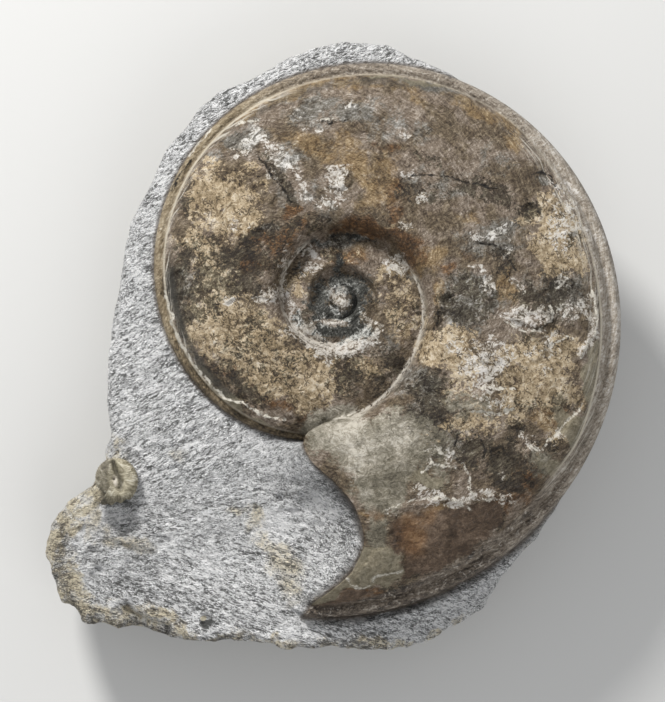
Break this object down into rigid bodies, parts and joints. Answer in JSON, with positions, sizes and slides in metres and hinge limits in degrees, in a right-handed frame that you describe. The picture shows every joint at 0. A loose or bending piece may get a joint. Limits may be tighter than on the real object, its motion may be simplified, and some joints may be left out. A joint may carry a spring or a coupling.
{
  "type": "sonninia ammonite fossil",
  "caption": "Prepared fossil ammonite lying on its side in a lump of grey limestone, with a tiny second ammonite on the rock's edge.",
  "frame": {"origin": "on the flat spot that the rock rests on, straight below the axis of the large shell's coil", "axes": "+Z up, out of the freed flank of the shell; +Y away from the shell's mouth, along the piece's length; +X to the right, seen from above with +Y up"},
  "size_m": [0.127, 0.1347, 0.0409],
  "materials": {
    "grey_limestone": "matte, tooled",
    "fossil_shell": "satin, worn",
    "small_fossil_shell": "satin"
  },
  "bodies": {
    "root": {"matrix_stone": "grey_limestone", "large_ammonite": "fossil_shell", "small_ammonite": "small_fossil_shell"}
  },
  "joints": []
}
